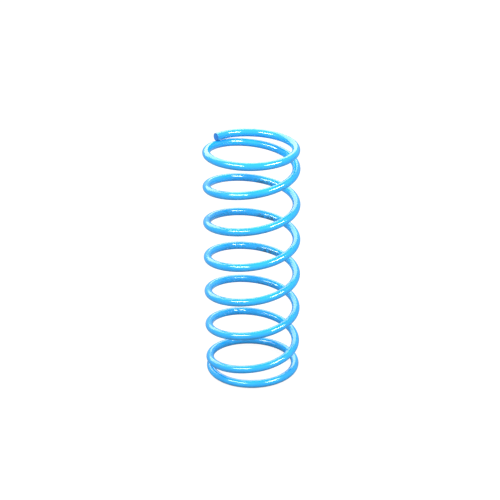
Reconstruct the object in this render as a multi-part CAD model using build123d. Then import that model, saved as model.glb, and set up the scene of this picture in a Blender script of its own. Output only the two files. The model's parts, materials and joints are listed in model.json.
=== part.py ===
"""Suspension coil spring: one right-hand wound round wire with closed, unground ends.

A coil spring shortens because its wire twists along its own length. The wire is
therefore held as short rigid lengths that meet face to face, square to the wire,
so that each length can turn about the wire's own line on the length below it:
a dead coil at each end, and quarter turns between the two.

Millimetres, +Z up along the spring's axis, origin at the centre of the base.
"""

import os
from math import cos, pi, radians, sin

from build123d import *

# Wire and coil
WIRE_DIAMETER = 12.0
END_COIL_RADIUS = 66.0  # from the spring's axis to the wire's centre line
BODY_SWELL = 1.6  # extra radius of the middle coil, which is wound a little wider
PITCH = 57.8  # rise of one free active coil

# Where the wire starts and stops, in degrees anticlockwise from +X seen from above
BOTTOM_TIP_ANGLE = 172.0
TOP_TIP_ANGLE = 145.0
WHOLE_COILS = 8  # from the bottom tip round to the same angle at the top

# How each end closes. Slopes are parts of the pitch, lengths are turns from the tip:
# the slope of the dead coil, the extra slope at the cut tip, and the stretch over
# which the slope grows to the full pitch
BOTTOM_END = {"dead_slope": 0.067, "tip_slope": 0.05, "ramp": (0.454, 1.231)}
TOP_END = {"dead_slope": 0.02, "tip_slope": 0.50, "ramp": (0.63, 1.18)}
TIP_LENGTH = 0.35
TIP_EDGE_RADIUS = 0.7  # rounding of the sheared ends under their coating

# The lengths of wire between the dead coils, each centred on one side of the spring
ACTIVE_COILS = 6
SIDES = ("left", "front", "right", "back")
FIRST_JOINT_ANGLE = 360.0 + 135.0
STATIONS_PER_TURN = 48  # points that each centre line is drawn through

TURNS = WHOLE_COILS + (TOP_TIP_ANGLE - BOTTOM_TIP_ANGLE) / 360.0


def ramp_share(turns, end):
    """How far a point has come along its end's ramp, from 0 to 1."""
    start, stop = end["ramp"]
    return min(max((turns - start) / (stop - start), 0.0), 1.0)


def slope(turns, end):
    """Rise per turn, as a part of the pitch, this many turns in from an end's tip."""
    share = ramp_share(turns, end)
    grown = 3 * share**2 - 2 * share**3
    tip = end["tip_slope"] * max(1.0 - turns / TIP_LENGTH, 0.0)
    return end["dead_slope"] + (1.0 - end["dead_slope"]) * grown + tip


def rise(turns, end):
    """Height gained since an end's tip, as a part of the pitch: the sum of slope()."""
    start, stop = end["ramp"]
    share = ramp_share(turns, end)
    grown = (stop - start) * (share**3 - share**4 / 2) + max(turns - stop, 0.0)
    tip_turns = min(turns, TIP_LENGTH)
    tip = end["tip_slope"] * (tip_turns - tip_turns**2 / (2 * TIP_LENGTH))
    return end["dead_slope"] * turns + (1.0 - end["dead_slope"]) * grown + tip


CENTRE_LINE_HEIGHT = PITCH * (rise(TURNS / 2, BOTTOM_END) + rise(TURNS / 2, TOP_END))


def wire_point(turn):
    """The wire's centre line, this many turns up from the bottom tip."""
    angle = radians(BOTTOM_TIP_ANGLE) + 2 * pi * turn
    radius = END_COIL_RADIUS + BODY_SWELL * sin(pi * turn / TURNS)
    if turn < TURNS / 2:
        height = PITCH * rise(turn, BOTTOM_END)
    else:
        height = CENTRE_LINE_HEIGHT - PITCH * rise(TURNS - turn, TOP_END)
    return Vector(radius * cos(angle), radius * sin(angle), WIRE_DIAMETER / 2 + height)


def wire_direction(turn):
    """The way the wire runs at that point, towards the top tip."""
    angle = radians(BOTTOM_TIP_ANGLE) + 2 * pi * turn
    radius = END_COIL_RADIUS + BODY_SWELL * sin(pi * turn / TURNS)
    widening = BODY_SWELL * pi / TURNS * cos(pi * turn / TURNS)
    if turn < TURNS / 2:
        climb = PITCH * slope(turn, BOTTOM_END)
    else:
        climb = PITCH * slope(TURNS - turn, TOP_END)
    along_x = widening * cos(angle) - 2 * pi * radius * sin(angle)
    along_y = widening * sin(angle) + 2 * pi * radius * cos(angle)
    return Vector(along_x, along_y, climb).normalized()


def joint_turn(number):
    """Where the wire is divided, counted from 0 at the top of the bottom dead coil."""
    return (FIRST_JOINT_ANGLE + 90.0 * number - BOTTOM_TIP_ANGLE) / 360.0


def wire_length(start, stop):
    """One solid length of wire between two places, cut square to the wire at both."""
    spans = round((stop - start) * STATIONS_PER_TURN)
    turns = [start + (stop - start) * step / spans for step in range(spans + 1)]
    points = [wire_point(turn) for turn in turns]
    directions = [wire_direction(start), wire_direction(stop)]
    centre_line = Spline(*points, tangents=directions, tangent_scalars=[1.0, 1.0])
    section_plane = Plane(origin=points[0], z_dir=wire_direction(start))
    return sweep(section_plane * Circle(WIRE_DIAMETER / 2), path=centre_line)


def round_tip(length, turn):
    """Round the edge of the sheared end face that stands at this place on the wire."""
    tip = wire_point(turn)
    end_face = length.faces().sort_by(lambda face: (face.center() - tip).length)[0]
    return fillet(end_face.edges(), TIP_EDGE_RADIUS)


def build_nodes():
    """Every length of the wire by name, from the bottom tip to the top tip."""
    last_joint = 4 * ACTIVE_COILS
    nodes = {"bottom_end_coil": round_tip(wire_length(0.0, joint_turn(0)), 0.0)}
    for number in range(last_joint):
        name = f"coil_{number // 4 + 1}_{SIDES[number % 4]}"
        nodes[name] = wire_length(joint_turn(number), joint_turn(number + 1))
    nodes["top_end_coil"] = round_tip(wire_length(joint_turn(last_joint), TURNS), TURNS)
    return nodes


if __name__ == "__main__":
    os.makedirs("parts", exist_ok=True)
    for name, solid in build_nodes().items():
        solid.label = name
        export_step(solid, f"parts/{name}.step")
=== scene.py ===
import json
import math

import bpy
from mathutils import Matrix, Vector


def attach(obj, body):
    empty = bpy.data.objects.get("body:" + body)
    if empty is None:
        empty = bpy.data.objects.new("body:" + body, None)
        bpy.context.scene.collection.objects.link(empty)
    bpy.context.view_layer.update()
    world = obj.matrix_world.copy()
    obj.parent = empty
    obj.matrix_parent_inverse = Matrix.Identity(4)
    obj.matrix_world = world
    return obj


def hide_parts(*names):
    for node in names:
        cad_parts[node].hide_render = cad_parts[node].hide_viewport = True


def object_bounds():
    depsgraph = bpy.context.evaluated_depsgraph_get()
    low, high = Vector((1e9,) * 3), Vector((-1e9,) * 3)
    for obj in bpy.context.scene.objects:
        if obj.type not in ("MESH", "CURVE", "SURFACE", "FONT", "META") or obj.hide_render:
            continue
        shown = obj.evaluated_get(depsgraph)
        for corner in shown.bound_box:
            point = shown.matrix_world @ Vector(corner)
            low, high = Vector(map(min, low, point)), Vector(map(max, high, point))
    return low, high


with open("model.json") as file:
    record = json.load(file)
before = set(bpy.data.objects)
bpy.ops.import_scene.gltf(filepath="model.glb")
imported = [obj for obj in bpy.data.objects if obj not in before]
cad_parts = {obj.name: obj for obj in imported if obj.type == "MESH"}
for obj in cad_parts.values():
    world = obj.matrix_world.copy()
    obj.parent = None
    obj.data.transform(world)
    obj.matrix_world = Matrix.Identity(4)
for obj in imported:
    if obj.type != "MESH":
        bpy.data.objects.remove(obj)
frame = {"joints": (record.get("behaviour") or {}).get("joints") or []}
cad_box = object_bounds()

# Camera
# A long lens a couple of metres away, which looks down on the standing spring from its
# front and is held almost level.
camera_distance = 2.295
camera_elevation = math.radians(25.9)
camera_roll = math.radians(-0.4)
look_at = Vector((-0.0029, 0.0100, 0.1993))
toward_camera = Vector((0, -math.cos(camera_elevation), math.sin(camera_elevation)))
camera = bpy.data.objects.new("camera", bpy.data.cameras.new("camera"))
bpy.context.scene.collection.objects.link(camera)
camera.data.lens = 108.2
camera.data.sensor_width = 36.0
camera.location = Vector((0, 0, 0.1791)) + toward_camera * camera_distance
view_direction = (look_at - camera.location).to_track_quat("-Z", "Y")
camera.rotation_mode = "QUATERNION"
roll_turn = Matrix.Rotation(camera_roll, 4, "Z").to_quaternion()
camera.rotation_quaternion = view_direction @ roll_turn
bpy.context.scene.camera = camera

# Studio
# White paper in a white room, lit so brightly that the floor holds no shadow. What they
# throw back on the wire is weaker, so that its underside stays a deep blue.
bpy.context.scene.view_settings.view_transform = "Standard"
world = bpy.data.worlds.new("white_room")
bpy.context.scene.world = world
world.use_nodes = True
room = world.node_tree
room_light = room.nodes["Background"]
room_light.inputs["Color"].default_value = (1.0, 1.0, 1.0, 1.0)
room_light.inputs["Strength"].default_value = 0.56
room_seen = room.nodes.new("ShaderNodeBackground")
room_seen.inputs["Color"].default_value = (1.0, 1.0, 1.0, 1.0)
room_ray = room.nodes.new("ShaderNodeLightPath")
room_mix = room.nodes.new("ShaderNodeMixShader")
room.links.new(room_ray.outputs["Is Camera Ray"], room_mix.inputs["Fac"])
room.links.new(room_light.outputs["Background"], room_mix.inputs[1])
room.links.new(room_seen.outputs["Background"], room_mix.inputs[2])
room.links.new(room_mix.outputs["Shader"], room.nodes["World Output"].inputs["Surface"])

bpy.ops.object.select_all(action="DESELECT")
bpy.ops.mesh.primitive_plane_add(size=12.0, location=(0, 0, cad_box[0].z))
table = bpy.context.active_object
table.name = "table"
paper = bpy.data.materials.new("matt_white_paper")
paper.use_nodes = True
paper_tree = paper.node_tree
paper_shader = paper_tree.nodes["Principled BSDF"]
paper_shader.inputs["Base Color"].default_value = (0.23, 0.23, 0.23, 1.0)
paper_shader.inputs["Roughness"].default_value = 0.9
paper_shader.inputs["Specular IOR Level"].default_value = 0.1
paper_seen = paper_tree.nodes.new("ShaderNodeBsdfPrincipled")
paper_seen.inputs["Base Color"].default_value = (0.1, 0.1, 0.1, 1.0)
paper_seen.inputs["Roughness"].default_value = 0.9
paper_seen.inputs["Specular IOR Level"].default_value = 0.1
paper_seen.inputs["Emission Color"].default_value = (1.0, 1.0, 1.0, 1.0)
paper_seen.inputs["Emission Strength"].default_value = 0.9
paper_ray = paper_tree.nodes.new("ShaderNodeLightPath")
paper_mix = paper_tree.nodes.new("ShaderNodeMixShader")
paper_tree.links.new(paper_ray.outputs["Is Camera Ray"], paper_mix.inputs["Fac"])
paper_tree.links.new(paper_shader.outputs["BSDF"], paper_mix.inputs[1])
paper_tree.links.new(paper_seen.outputs["BSDF"], paper_mix.inputs[2])
paper_output = paper_tree.nodes["Material Output"]
paper_tree.links.new(paper_mix.outputs["Shader"], paper_output.inputs["Surface"])
table.data.materials.append(paper)


def soft_box(name, place, size, watts):
    """A rectangular soft box that faces the middle of the spring."""
    lamp = bpy.data.objects.new(name, bpy.data.lights.new(name, "AREA"))
    bpy.context.scene.collection.objects.link(lamp)
    lamp.data.shape = "RECTANGLE"
    lamp.data.size, lamp.data.size_y = size
    lamp.data.energy = watts
    lamp.location = Vector(place)
    aim = Vector((0, 0, 0.5 * (cad_box[0].z + cad_box[1].z))) - lamp.location
    lamp.rotation_mode = "QUATERNION"
    lamp.rotation_quaternion = aim.to_track_quat("-Z", "Y")


soft_box("left_strip", (-1.11, -1.08, 1.75), (1.5, 0.4), 54)
soft_box("right_strip", (1.38, -0.85, 1.67), (1.2, 0.4), 54)
soft_box("broad_box_behind", (-0.7, 2.0, 1.7), (3.2, 2.0), 60)

# Powder coat
# The whole wire is coated in one go: blasted, dipped in phosphate, sprayed with glossy
# sky-blue powder and baked. The melt flows out with an orange peel, a little thinner on
# the upper side, with specks of dust baked in and a few stone-sized chips.
coat_deep = (0.006, 0.275, 0.65, 1.0)
coat_thin = (0.010, 0.315, 0.70, 1.0)
phosphated_steel = (0.030, 0.036, 0.042, 1.0)
# A dark grey teal for the darker speckled patch inside the back coils, also the base of the
# sheared edge's darker coat
dark_grey_teal = (0.022, 0.065, 0.085, 1.0)
smooth_peel = 0.00003
patch_height = 0.22
wire_diameter = 0.012


def add_node(tree, kind, place=(0, 0), **settings):
    """A new node in a node tree, with its plain settings."""
    node = tree.nodes.new(kind)
    node.location = place
    for key, value in settings.items():
        setattr(node, key, value)
    return node


def new_group(name, inputs, outputs):
    """An empty shader node group with the sockets (name, kind, value) given."""
    group = bpy.data.node_groups.new(name, "ShaderNodeTree")
    for label, kind, value in inputs:
        socket = group.interface.new_socket(label, in_out="INPUT", socket_type=kind)
        if value is not None:
            socket.default_value = value
    for label, kind in outputs:
        group.interface.new_socket(label, in_out="OUTPUT", socket_type=kind)
    return group, group.nodes.new("NodeGroupInput"), group.nodes.new("NodeGroupOutput")


# Orange peel: shallow swells about three millimetres across, with a finer ripple on them
orange_peel, peel_in, peel_out = new_group(
    "orange_peel",
    [
        ("Vector", "NodeSocketVector", None),
        ("Swell Scale", "NodeSocketFloat", 330.0),
        ("Ripple Scale", "NodeSocketFloat", 1500.0),
        ("Height", "NodeSocketFloat", 0.00003),
    ],
    [("Normal", "NodeSocketVector")],
)
swell = add_node(orange_peel, "ShaderNodeTexNoise")
swell.inputs["Detail"].default_value = 1.5
swell.inputs["Roughness"].default_value = 0.45
ripple = add_node(orange_peel, "ShaderNodeTexNoise")
ripple.inputs["Detail"].default_value = 1.0
both = add_node(orange_peel, "ShaderNodeMath", operation="MULTIPLY_ADD")
both.inputs[1].default_value = 0.06
peel_bump = add_node(orange_peel, "ShaderNodeBump")
peel_bump.inputs["Strength"].default_value = 1.0
link = orange_peel.links.new
link(peel_in.outputs["Vector"], swell.inputs["Vector"])
link(peel_in.outputs["Vector"], ripple.inputs["Vector"])
link(peel_in.outputs["Swell Scale"], swell.inputs["Scale"])
link(peel_in.outputs["Ripple Scale"], ripple.inputs["Scale"])
link(ripple.outputs["Fac"], both.inputs[0])
link(swell.outputs["Fac"], both.inputs[2])
link(both.outputs["Value"], peel_bump.inputs["Height"])
link(peel_in.outputs["Height"], peel_bump.inputs["Distance"])
link(peel_bump.outputs["Normal"], peel_out.inputs["Normal"])

# Specks: small hard spots, thinned out by a slow patchiness
specks, specks_in, specks_out = new_group(
    "specks",
    [
        ("Vector", "NodeSocketVector", None),
        ("Cell Scale", "NodeSocketFloat", 300.0),
        ("Size", "NodeSocketFloat", 0.12),
        ("Sparseness", "NodeSocketFloat", 0.7),
    ],
    [("Mask", "NodeSocketFloat")],
)
ragged = add_node(specks, "ShaderNodeTexNoise")
ragged.inputs["Scale"].default_value = 2600.0
ragged.inputs["Detail"].default_value = 2.0
cells = add_node(specks, "ShaderNodeTexVoronoi", feature="F1")
edge = add_node(specks, "ShaderNodeMath", operation="MULTIPLY_ADD")
edge.inputs[1].default_value = 0.14
spot = add_node(specks, "ShaderNodeMath", operation="LESS_THAN")
patches = add_node(specks, "ShaderNodeTexNoise")
patches.inputs["Scale"].default_value = 55.0
patches.inputs["Detail"].default_value = 1.0
chosen = add_node(specks, "ShaderNodeMath", operation="GREATER_THAN")
kept = add_node(specks, "ShaderNodeMath", operation="MULTIPLY")
link = specks.links.new
for texture in (ragged, cells, patches):
    link(specks_in.outputs["Vector"], texture.inputs["Vector"])
link(specks_in.outputs["Cell Scale"], cells.inputs["Scale"])
link(ragged.outputs["Fac"], edge.inputs[0])
link(cells.outputs["Distance"], edge.inputs[2])
link(edge.outputs["Value"], spot.inputs[0])
link(specks_in.outputs["Size"], spot.inputs[1])
link(patches.outputs["Fac"], chosen.inputs[0])
link(specks_in.outputs["Sparseness"], chosen.inputs[1])
link(spot.outputs["Value"], kept.inputs[0])
link(chosen.outputs["Value"], kept.inputs[1])
link(kept.outputs["Value"], specks_out.inputs["Mask"])


def powder_coat(name, deep, thin_film, peel_height):
    """The coat as it lies on one kind of surface: its two shades and its orange peel."""
    coat = bpy.data.materials.new(name)
    coat.use_nodes = True
    tree = coat.node_tree
    link = tree.links.new
    shader = tree.nodes["Principled BSDF"]
    shader.inputs["IOR"].default_value = 1.52
    shader.inputs["Specular IOR Level"].default_value = 0.8
    place = add_node(tree, "ShaderNodeTexCoord", (-2000, 900))
    along = add_node(tree, "ShaderNodeAttribute", (-2000, 0), attribute_name="bar_place")

    film = add_node(tree, "ShaderNodeTexNoise", (-1500, 400))
    film.inputs["Scale"].default_value = 38.0
    film.inputs["Detail"].default_value = 3.0
    film_range = add_node(tree, "ShaderNodeMapRange", (-1250, 400))
    film_range.inputs["From Min"].default_value = 0.35
    film_range.inputs["From Max"].default_value = 0.65
    tint = add_node(tree, "ShaderNodeMix", (-1050, 400), data_type="RGBA")
    tint.inputs["A"].default_value = deep
    tint.inputs["B"].default_value = thin_film
    link(along.outputs["Vector"], film.inputs["Vector"])
    link(film.outputs["Fac"], film_range.inputs["Value"])
    link(film_range.outputs["Result"], tint.inputs["Factor"])

    # A darker, rougher, speckled patch on the lower inner side of the middle coils, towards
    # their back
    from_ends = add_node(tree, "ShaderNodeSeparateXYZ", (-1800, 1300))
    from_middle = add_node(tree, "ShaderNodeMath", (-1600, 1300), operation="SUBTRACT")
    from_middle.inputs[1].default_value = patch_height
    either_way = add_node(tree, "ShaderNodeMath", (-1400, 1300), operation="ABSOLUTE")
    middle = add_node(tree, "ShaderNodeMapRange", (-1200, 1300))
    middle.interpolation_type = "SMOOTHSTEP"
    middle.inputs["From Min"].default_value = 0.15
    middle.inputs["From Max"].default_value = 0.05
    middle.inputs["To Max"].default_value = 0.85
    middle_patch = add_node(tree, "ShaderNodeMath", (-900, 1200), operation="MULTIPLY")
    flat = add_node(tree, "ShaderNodeVectorMath", (-1800, 1100), operation="MULTIPLY")
    flat.inputs[1].default_value = (1.0, 1.0, 0.0)
    across = add_node(tree, "ShaderNodeVectorMath", (-1600, 900), operation="DOT_PRODUCT")
    across.inputs[1].default_value = (0.0, 0.92, -0.38)
    inner = add_node(tree, "ShaderNodeMapRange", (-1400, 900))
    inner.interpolation_type = "SMOOTHSTEP"
    inner.inputs["From Min"].default_value = 0.25 * wire_diameter
    inner.inputs["From Max"].default_value = 0.42 * wire_diameter
    outward = add_node(tree, "ShaderNodeVectorMath", (-1600, 1100), operation="NORMALIZE")
    facing = add_node(tree, "ShaderNodeVectorMath", (-1400, 1100), operation="DOT_PRODUCT")
    facing.inputs[1].default_value = (0.44, 0.90, 0.0)
    sector = add_node(tree, "ShaderNodeMapRange", (-1200, 1100))
    sector.interpolation_type = "SMOOTHSTEP"
    sector.inputs["From Min"].default_value = 0.91
    sector.inputs["From Max"].default_value = 0.985
    patch_mask = add_node(tree, "ShaderNodeMath", (-1000, 1000), operation="MULTIPLY")
    speckling = add_node(tree, "ShaderNodeTexNoise", (-1400, 700))
    speckling.inputs["Scale"].default_value = 160.0
    speckling.inputs["Detail"].default_value = 5.0
    speckling.inputs["Roughness"].default_value = 0.7
    speckling_range = add_node(tree, "ShaderNodeMapRange", (-1200, 700))
    speckling_range.inputs["From Min"].default_value = 0.42
    speckling_range.inputs["From Max"].default_value = 0.56
    patch_amount = add_node(tree, "ShaderNodeMath", (-800, 900), operation="MULTIPLY")
    link(place.outputs["Object"], flat.inputs[0])
    link(along.outputs["Vector"], across.inputs[0])
    link(across.outputs["Value"], inner.inputs["Value"])
    link(flat.outputs["Vector"], outward.inputs[0])
    link(outward.outputs["Vector"], facing.inputs[0])
    link(facing.outputs["Value"], sector.inputs["Value"])
    link(inner.outputs["Result"], patch_mask.inputs[0])
    link(sector.outputs["Result"], patch_mask.inputs[1])
    link(along.outputs["Vector"], speckling.inputs["Vector"])
    link(speckling.outputs["Fac"], speckling_range.inputs["Value"])
    link(place.outputs["Object"], from_ends.inputs["Vector"])
    link(from_ends.outputs["Z"], from_middle.inputs[0])
    link(from_middle.outputs["Value"], either_way.inputs[0])
    link(either_way.outputs["Value"], middle.inputs["Value"])
    link(patch_mask.outputs["Value"], middle_patch.inputs[0])
    link(middle.outputs["Result"], middle_patch.inputs[1])
    link(middle_patch.outputs["Value"], patch_amount.inputs[0])
    link(speckling_range.outputs["Result"], patch_amount.inputs[1])
    patch_tint = add_node(tree, "ShaderNodeMix", (-750, 400), data_type="RGBA")
    patch_tint.inputs["B"].default_value = dark_grey_teal
    link(patch_amount.outputs["Value"], patch_tint.inputs["Factor"])
    link(tint.outputs["Result"], patch_tint.inputs["A"])

    chips = add_node(tree, "ShaderNodeGroup", (-1250, -100), node_tree=specks)
    chips.inputs["Cell Scale"].default_value = 190.0
    chips.inputs["Size"].default_value = 0.13
    chips.inputs["Sparseness"].default_value = 0.57
    bare = add_node(tree, "ShaderNodeMix", (-450, 300), data_type="RGBA")
    bare.inputs["B"].default_value = phosphated_steel
    link(along.outputs["Vector"], chips.inputs["Vector"])
    link(patch_tint.outputs["Result"], bare.inputs["A"])
    link(chips.outputs["Mask"], bare.inputs["Factor"])
    link(bare.outputs["Result"], shader.inputs["Base Color"])

    gloss = add_node(tree, "ShaderNodeMapRange", (-850, 50))
    gloss.inputs["To Min"].default_value = 0.09
    gloss.inputs["To Max"].default_value = 0.17
    sandy = add_node(tree, "ShaderNodeMix", (-650, 50), data_type="FLOAT")
    sandy.inputs["B"].default_value = 0.32
    matt = add_node(tree, "ShaderNodeMix", (-450, 50), data_type="FLOAT")
    matt.inputs["B"].default_value = 0.6
    link(film.outputs["Fac"], gloss.inputs["Value"])
    link(gloss.outputs["Result"], sandy.inputs["A"])
    link(patch_amount.outputs["Value"], sandy.inputs["Factor"])
    link(sandy.outputs["Result"], matt.inputs["A"])
    link(chips.outputs["Mask"], matt.inputs["Factor"])
    link(matt.outputs["Result"], shader.inputs["Roughness"])

    peel = add_node(tree, "ShaderNodeGroup", (-850, -350), node_tree=orange_peel)
    peel.inputs["Height"].default_value = peel_height
    dent = add_node(tree, "ShaderNodeBump", (-450, -250), invert=True)
    dent.inputs["Strength"].default_value = 1.0
    dent.inputs["Distance"].default_value = 0.00008
    link(along.outputs["Vector"], peel.inputs["Vector"])
    link(chips.outputs["Mask"], dent.inputs["Height"])
    link(peel.outputs["Normal"], dent.inputs["Normal"])
    link(dent.outputs["Normal"], shader.inputs["Normal"])
    return coat


coat = powder_coat("sky_blue_powder_coat", coat_deep, coat_thin, smooth_peel)

# Bottom end coil
# The first turn of the one round spring-steel wire, cold coiled and closed down until its
# tip almost touches the coil above. The wire is sheared off a little out of square, and
# neither end is ground flat. A straight bar is bent along the wire's centre line.
turns = 7.925
end_coil_radius = 0.066
body_swell = 0.0016
pitch = 0.0578
bottom_close = {"dead_slope": 0.067, "tip_slope": 0.05, "ramp": (0.454, 1.231)}
tip_length = 0.35
places_per_turn = 32
bar_sides = 64
row_spacing = 0.0015
shear_angle = math.radians(18)
clean_cut = 0.0002
sheared_edge = 0.0006
on_plane = 0.00001
shortest_side = 0.0012
most_cuts = 100
joints = frame["joints"]

# The sheared face and its edge are much darker than the wire's side. Partly this is the
# powder lying thin over the torn steel, thinnest on the edge, and partly it is painted
# shade that sets the face off from the wire's side
sheared_deep_and_shade = (0.003, 0.12, 0.42, 1.0)
sheared_thin_and_shade = (0.004, 0.16, 0.48, 1.0)
thin_and_shade_on_rim = (0.003, 0.09, 0.26, 1.0)
torn_peel = 0.00012
edge_peel = 0.00005
end_coat = powder_coat("powder_and_painted_shade_on_sheared_face", sheared_deep_and_shade, sheared_thin_and_shade, torn_peel)
rim_coat = powder_coat("thin_powder_and_painted_shade_on_edge", dark_grey_teal, thin_and_shade_on_rim, edge_peel)


def wire_place(joint):
    """Where a joint stands on the wire's centre line, and the way the wire runs there."""
    return Vector(joint["pos_m"]), -Vector(joint["axis"]).normalized()


def ramp_share(turns_in, close):
    """How far a point has come along its end's ramp, from 0 to 1."""
    start, stop = close["ramp"]
    return min(max((turns_in - start) / (stop - start), 0.0), 1.0)


def slope(turns_in, close):
    """Rise per turn, as a part of the pitch, this many turns in from the tip."""
    share = ramp_share(turns_in, close)
    tip = close["tip_slope"] * max(1.0 - turns_in / tip_length, 0.0)
    grown = 3 * share**2 - 2 * share**3
    return close["dead_slope"] + (1.0 - close["dead_slope"]) * grown + tip


def rise(turns_in, close):
    """Height gained since the tip, as a part of the pitch: the sum of slope()."""
    start, stop = close["ramp"]
    share = ramp_share(turns_in, close)
    grown = (stop - start) * (share**3 - share**4 / 2) + max(turns_in - stop, 0.0)
    near_tip = min(turns_in, tip_length)
    tip = close["tip_slope"] * (near_tip - near_tip**2 / (2 * tip_length))
    return close["dead_slope"] * turns_in + (1.0 - close["dead_slope"]) * grown + tip


def end_coil_places(joint, turns_in, close, way_up):
    """The centre line from a joint out to the tip: way_up is 1 at the top, -1 below."""
    place, _ = wire_place(joint)
    joint_angle = math.atan2(place.y, place.x)
    steps = round(turns_in * places_per_turn)
    places = []
    for step in range(steps + 1):
        left = turns_in * (1 - step / steps)
        angle = joint_angle + way_up * math.tau * (turns_in - left)
        radius = end_coil_radius + body_swell * math.sin(math.pi * left / turns)
        widening = -way_up * body_swell * math.pi / turns * math.cos(math.pi * left / turns)
        gained = pitch * (rise(turns_in, close) - rise(left, close))
        outward = Vector((math.cos(angle), math.sin(angle), 0))
        onward = Vector((-math.sin(angle), math.cos(angle), 0))
        way = widening * outward + math.tau * radius * onward
        way.z = pitch * slope(left, close)
        point = radius * outward
        point.z = place.z + way_up * gained
        places.append((point, way.normalized()))
    return places if way_up > 0 else places[::-1]


def bend_reach(start, start_way, stop, stop_way):
    """The handle length with which a path follows a round bend between two places."""
    bend = start_way.angle(stop_way)
    return 2 / 3 * (stop - start).length * math.tan(bend / 4) / math.sin(bend / 2)


def centre_line(name, places):
    """A smooth path through the places given, each a point and a direction."""
    path = bpy.data.objects.new(name, bpy.data.curves.new(name, "CURVE"))
    bpy.context.scene.collection.objects.link(path)
    path.data.dimensions = "3D"
    path.data.twist_mode = "Z_UP"
    path.data.resolution_u = 200 if len(places) == 2 else 24
    path.data.use_stretch = True
    path.data.use_deform_bounds = True
    spline = path.data.splines.new("BEZIER")
    spline.bezier_points.add(len(places) - 1)
    for knot, (point, way) in zip(spline.bezier_points, places):
        knot.handle_left_type = knot.handle_right_type = "FREE"
        knot.co = knot.handle_left = knot.handle_right = point
    for number in range(len(places) - 1):
        (start, start_way), (stop, stop_way) = places[number : number + 2]
        reach = bend_reach(start, start_way, stop, stop_way)
        spline.bezier_points[number].handle_right = start + start_way * reach
        spline.bezier_points[number + 1].handle_left = stop - stop_way * reach
    return path


def select_in(piece, kind, wanted):
    """Selects the edges or faces of a piece in edit mode that pass a test."""
    bpy.ops.mesh.select_mode(type=kind)
    bpy.ops.mesh.select_all(action="DESELECT")
    bpy.ops.object.mode_set(mode="OBJECT")
    vertices = piece.data.vertices
    for part in piece.data.edges if kind == "EDGE" else piece.data.polygons:
        part.select = wanted([vertices[index].co for index in part.vertices])
    bpy.ops.object.mode_set(mode="EDIT")


def runs_lengthwise(corners):
    """Tells a bar's long side edges from the short ones round its ends."""
    return abs(corners[0].x - corners[1].x) > shortest_side


def straight_bar(name, length):
    """A straight round bar that lies on +X from the origin, closed at both ends."""
    bpy.ops.object.select_all(action="DESELECT")
    bpy.ops.mesh.primitive_cylinder_add(
        vertices=bar_sides,
        radius=wire_diameter / 2,
        depth=length,
        location=(length / 2, 0, 0),
        rotation=(0, math.pi / 2, 0),
    )
    bar = bpy.context.active_object
    bar.name = name
    bpy.ops.object.transform_apply(location=True, rotation=True, scale=True)
    return bar


def shear_off(bar, length, way_up):
    """Cuts a straight bar's tip off a little out of square and rounds its edge."""
    tip_x = length if way_up > 0 else 0.0
    cut_back = 0.5 * wire_diameter * math.tan(shear_angle) + clean_cut
    cut_place = Vector((tip_x - way_up * cut_back, 0, 0))
    cut_normal = Vector((math.cos(shear_angle), -way_up * math.sin(shear_angle), 0))

    def on_cut(corners):
        off_plane = [abs((corner - cut_place).dot(cut_normal)) for corner in corners]
        return max(off_plane) < on_plane

    bpy.ops.object.mode_set(mode="EDIT")
    bpy.ops.mesh.select_all(action="SELECT")
    bpy.ops.mesh.bisect(
        plane_co=cut_place,
        plane_no=cut_normal,
        use_fill=True,
        clear_outer=way_up > 0,
        clear_inner=way_up < 0,
    )
    # The sheared face and its rounded edge take the two darker coats, which hold painted
    # shade
    bar.data.materials.append(coat)
    bar.data.materials.append(rim_coat)
    bar.data.materials.append(end_coat)
    select_in(bar, "EDGE", on_cut)
    bpy.ops.mesh.bevel(offset=sheared_edge, segments=3, affect="EDGES", material=1)
    select_in(bar, "FACE", on_cut)
    bpy.ops.object.mode_set(mode="OBJECT")
    # The sheared face gets the darker coat, partly painted shade
    for face in bar.data.polygons:
        if face.select:
            face.material_index = 2


def cut_rows(bar, length):
    """Cuts a straight bar's sides into short rows, so that it can be bent."""
    bpy.context.view_layer.objects.active = bar
    bpy.ops.object.mode_set(mode="EDIT")
    rows = round(length / row_spacing)
    rounds = [rows - 1] if rows < most_cuts else [3, round(rows / 4) - 1]
    for cuts in rounds:
        select_in(bar, "EDGE", runs_lengthwise)
        bpy.ops.mesh.subdivide(number_cuts=cuts)
    bpy.ops.object.mode_set(mode="OBJECT")


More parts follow.
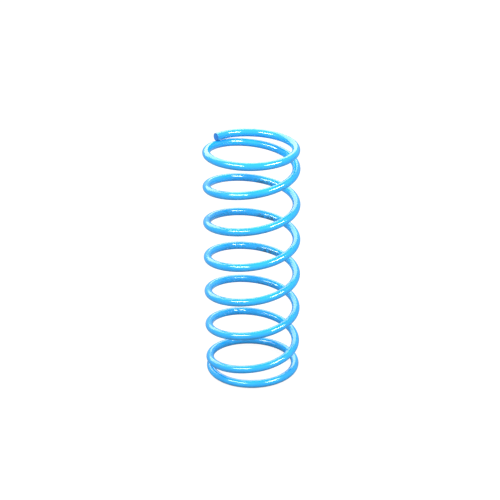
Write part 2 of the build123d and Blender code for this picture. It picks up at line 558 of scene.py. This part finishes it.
def bend_bar(bar, path, wire_below):
    """Bends a straight bar along a path, and keeps where each point lay on the wire."""
    straight = bar.data.attributes.new("bar_place", "FLOAT_VECTOR", "POINT")
    for vertex, place in zip(bar.data.vertices, straight.data):
        place.vector = vertex.co + Vector((wire_below, 0, 0))
    bend = bar.modifiers.new("bend", "CURVE")
    bend.object = path
    bend.deform_axis = "POS_X"
    bpy.context.view_layer.objects.active = bar
    bpy.ops.object.modifier_apply(modifier=bend.name)
    bpy.data.objects.remove(path)
    bpy.ops.object.select_all(action="DESELECT")
    bar.select_set(True)
    bpy.ops.object.shade_smooth_by_angle(angle=math.radians(35))


def stand_for(bar, node):
    """Lets a finished length of wire stand for the CAD node, on the body of that name."""
    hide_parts(node)
    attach(bar, node)


def path_length(places):
    """The length of wire along the places given."""
    return sum((b[0] - a[0]).length for a, b in zip(places, places[1:]))


def end_coil(node, joint, turns_in, close, way_up, wire_below):
    """A whole end coil, from its joint out to its sheared tip. Returns its length."""
    places = end_coil_places(joint, turns_in, close, way_up)
    length = path_length(places)
    bar = straight_bar("wire_" + node, length)
    shear_off(bar, length, way_up)
    cut_rows(bar, length)
    bend_bar(bar, centre_line("path_" + node, places), wire_below)
    stand_for(bar, node)
    return length


bottom_tip_angle = 172
first_joint_angle = 495
bottom_turns = (first_joint_angle - bottom_tip_angle) / 360
wire_laid = end_coil("bottom_end_coil", joints[0], bottom_turns, bottom_close, -1, 0.0)

# Active coils
# Six free turns of the same wire, which carry the load. Each piece is a quarter turn and
# meets its neighbours face to face, square to the wire, where the wire twists.
for number in range(len(joints) - 1):
    node = joints[number]["child"]
    start, start_way = wire_place(joints[number])
    stop, stop_way = wire_place(joints[number + 1])
    radius = 0.5 * (start.xy.length + stop.xy.length)
    length = math.hypot(radius * math.pi / 2, stop.z - start.z)
    bar = straight_bar("wire_" + node, length)
    bar.data.materials.append(coat)
    cut_rows(bar, length)
    path = centre_line("path_" + node, [(start, start_way), (stop, stop_way)])
    bend_bar(bar, path, wire_laid)
    stand_for(bar, node)
    wire_laid += length

# Top end coil
# The last turn, closed in the same way but with its tip springing up off the coil below,
# as wire does when the shear lets it go.
top_close = {"dead_slope": 0.02, "tip_slope": 0.50, "ramp": (0.63, 1.18)}
top_turns = turns - bottom_turns - (len(joints) - 1) / 4
end_coil("top_end_coil", joints[-1], top_turns, top_close, 1, wire_laid)
